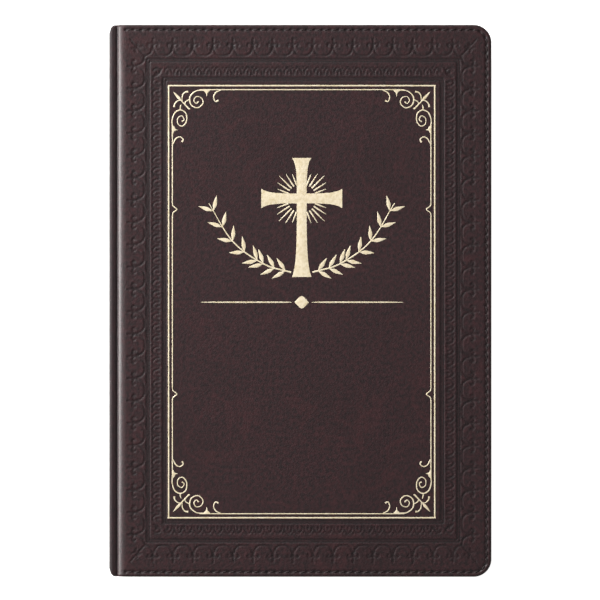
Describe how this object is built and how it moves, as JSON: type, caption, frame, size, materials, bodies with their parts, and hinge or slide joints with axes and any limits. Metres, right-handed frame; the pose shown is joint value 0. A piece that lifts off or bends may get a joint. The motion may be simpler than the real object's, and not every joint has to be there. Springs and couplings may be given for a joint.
{
  "type": "bible",
  "caption": "Closed dark brown leather-look bible with stitched, pressed covers, a gold foil frame and cross, and turning covers and page sections.",
  "frame": {"origin": "under the middle of the closed book, on the back cover's outer face", "axes": "+Z through the thickness to the front cover, +Y to the head, +X from the spine to the fore-edge"},
  "size_m": [0.1606, 0.232, 0.033],
  "materials": {
    "cover_leather": "dark brown imitation leather, satin, fine grain",
    "grey_board": "grey board",
    "lining_paper": "plain lining paper",
    "binding_cloth": "open weave starched cloth",
    "endpaper": "smooth cream endpaper",
    "page_paper": "thin uncoated page paper with gilt edges",
    "stitching_thread": "dark brown polyester thread",
    "sewing_thread": "waxed linen thread",
    "band_cloth": "gold and brown striped band",
    "gold_foil": "pressed pale gold foil"
  },
  "bodies": {
    "page_block": {"section_07": "page_paper", "section_08": "page_paper", "section_09": "page_paper", "section_10": "page_paper", "section_11": "page_paper", "section_12": "page_paper", "section_13": "page_paper", "section_14": "page_paper", "section_15": "page_paper", "section_16": "page_paper", "section_17": "page_paper", "section_18": "page_paper", "section_19": "page_paper", "section_20": "page_paper", "section_21": "page_paper", "sewing_threads": "sewing_thread", "mull": "binding_cloth", "spine_lining": "lining_paper", "headband": "band_cloth", "tailband": "band_cloth", "spine_skin": "cover_leather", "spine_stiffener": "grey_board", "spine_foil": "gold_foil"},
    "front_cover": {"front_cover_skin": "cover_leather", "front_board": "grey_board", "front_infill": "lining_paper", "front_mull_flange": "binding_cloth", "front_pastedown": "endpaper", "front_stitching": "stitching_thread", "front_foil_frame": "gold_foil", "front_foil_emblem": "gold_foil"},
    "front_leaf": {"front_flyleaf": "endpaper"},
    "back_cover": {"back_cover_skin": "cover_leather", "back_board": "grey_board", "back_infill": "lining_paper", "back_mull_flange": "binding_cloth", "back_pastedown": "endpaper", "back_stitching": "stitching_thread"},
    "back_leaf": {"back_flyleaf": "endpaper"},
    "section_01_body": {"section_01": "page_paper"},
    "section_02_body": {"section_02": "page_paper"},
    "section_03_body": {"section_03": "page_paper"},
    "section_04_body": {"section_04": "page_paper"},
    "section_05_body": {"section_05": "page_paper"},
    "section_06_body": {"section_06": "page_paper"},
    "section_24_body": {"section_24": "page_paper"},
    "section_23_body": {"section_23": "page_paper"},
    "section_22_body": {"section_22": "page_paper"}
  },
  "joints": [
    {"name": "front_cover_hinge", "type": "hinge", "parent": "page_block", "child": "front_cover", "pos_m": [-0.0769, 0, 0.0321], "axis": [0, -1, 0], "range_deg": [0, 180]},
    {"name": "front_leaf_turn", "type": "hinge", "parent": "page_block", "child": "front_leaf", "pos_m": [-0.0769, 0, 0.0321], "axis": [0, -1, 0], "range_deg": [0, 176]},
    {"name": "section_01_turn", "type": "hinge", "parent": "page_block", "child": "section_01_body", "pos_m": [-0.0769, 0, 0.0321], "axis": [0, -1, 0], "range_deg": [0, 170.6]},
    {"name": "section_02_turn", "type": "hinge", "parent": "page_block", "child": "section_02_body", "pos_m": [-0.0769, 0, 0.0321], "axis": [0, -1, 0], "range_deg": [0, 165.2]},
    {"name": "section_03_turn", "type": "hinge", "parent": "page_block", "child": "section_03_body", "pos_m": [-0.0769, 0, 0.0321], "axis": [0, -1, 0], "range_deg": [0, 159.8]},
    {"name": "section_04_turn", "type": "hinge", "parent": "page_block", "child": "section_04_body", "pos_m": [-0.0769, 0, 0.0321], "axis": [0, -1, 0], "range_deg": [0, 154.4]},
    {"name": "section_05_turn", "type": "hinge", "parent": "page_block", "child": "section_05_body", "pos_m": [-0.0769, 0, 0.0321], "axis": [0, -1, 0], "range_deg": [0, 149]},
    {"name": "section_06_turn", "type": "hinge", "parent": "page_block", "child": "section_06_body", "pos_m": [-0.0769, 0, 0.0321], "axis": [0, -1, 0], "range_deg": [0, 143.6]},
    {"name": "back_cover_hinge", "type": "hinge", "parent": "page_block", "child": "back_cover", "pos_m": [-0.0769, 0, 0.0009], "axis": [0, 1, 0], "range_deg": [0, 180]},
    {"name": "back_leaf_turn", "type": "hinge", "parent": "page_block", "child": "back_leaf", "pos_m": [-0.0769, 0, 0.0009], "axis": [0, 1, 0], "range_deg": [0, 176]},
    {"name": "section_24_turn", "type": "hinge", "parent": "page_block", "child": "section_24_body", "pos_m": [-0.0769, 0, 0.0009], "axis": [0, 1, 0], "range_deg": [0, 170.6]},
    {"name": "section_23_turn", "type": "hinge", "parent": "page_block", "child": "section_23_body", "pos_m": [-0.0769, 0, 0.0009], "axis": [0, 1, 0], "range_deg": [0, 165.2]},
    {"name": "section_22_turn", "type": "hinge", "parent": "page_block", "child": "section_22_body", "pos_m": [-0.0769, 0, 0.0009], "axis": [0, 1, 0], "range_deg": [0, 159.8]}
  ],
  "couplings": [
    {"joint": "front_leaf_turn", "follows": "front_cover_hinge", "ratio": 0.975},
    {"joint": "section_01_turn", "follows": "front_cover_hinge", "ratio": 0.945},
    {"joint": "section_02_turn", "follows": "front_cover_hinge", "ratio": 0.915},
    {"joint": "section_03_turn", "follows": "front_cover_hinge", "ratio": 0.885},
    {"joint": "section_04_turn", "follows": "front_cover_hinge", "ratio": 0.855},
    {"joint": "section_05_turn", "follows": "front_cover_hinge", "ratio": 0.825},
    {"joint": "section_06_turn", "follows": "front_cover_hinge", "ratio": 0.795},
    {"joint": "back_leaf_turn", "follows": "back_cover_hinge", "ratio": 0.975},
    {"joint": "section_24_turn", "follows": "back_cover_hinge", "ratio": 0.945},
    {"joint": "section_23_turn", "follows": "back_cover_hinge", "ratio": 0.915},
    {"joint": "section_22_turn", "follows": "back_cover_hinge", "ratio": 0.885}
  ]
}
